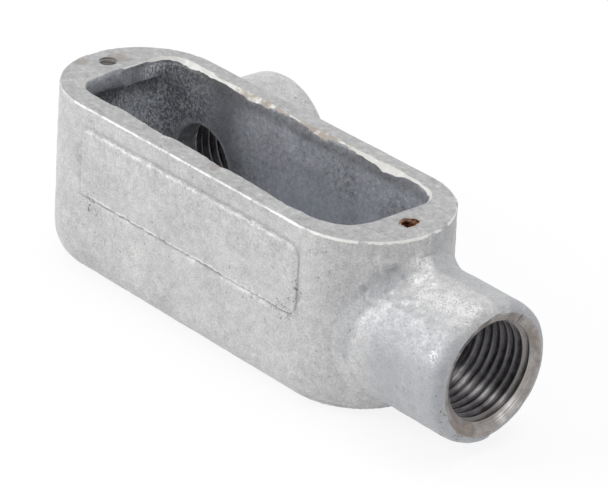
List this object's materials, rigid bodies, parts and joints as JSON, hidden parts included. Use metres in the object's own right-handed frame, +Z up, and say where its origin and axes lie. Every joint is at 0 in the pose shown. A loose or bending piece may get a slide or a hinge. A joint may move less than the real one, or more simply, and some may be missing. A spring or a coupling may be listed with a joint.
{
  "type": "conduit body",
  "caption": "Galvanised cast-iron conduit body with an end hub, a left-hand side hub and an open wiring chamber under a long cover opening.",
  "frame": {"origin": "centre of the flat underside, below the middle of the cover opening", "axes": "+Z up to the cover opening, +X out of the end hub, +Y out of the side hub"},
  "size_m": [0.1101, 0.0501, 0.0348],
  "materials": {
    "galvanised_iron": "hot-dip zinc over an as-cast skin, matt to satin; hub threads, countersinks and rim machined after casting"
  },
  "bodies": {
    "root": {"conduit_body": "galvanised_iron"}
  },
  "joints": []
}
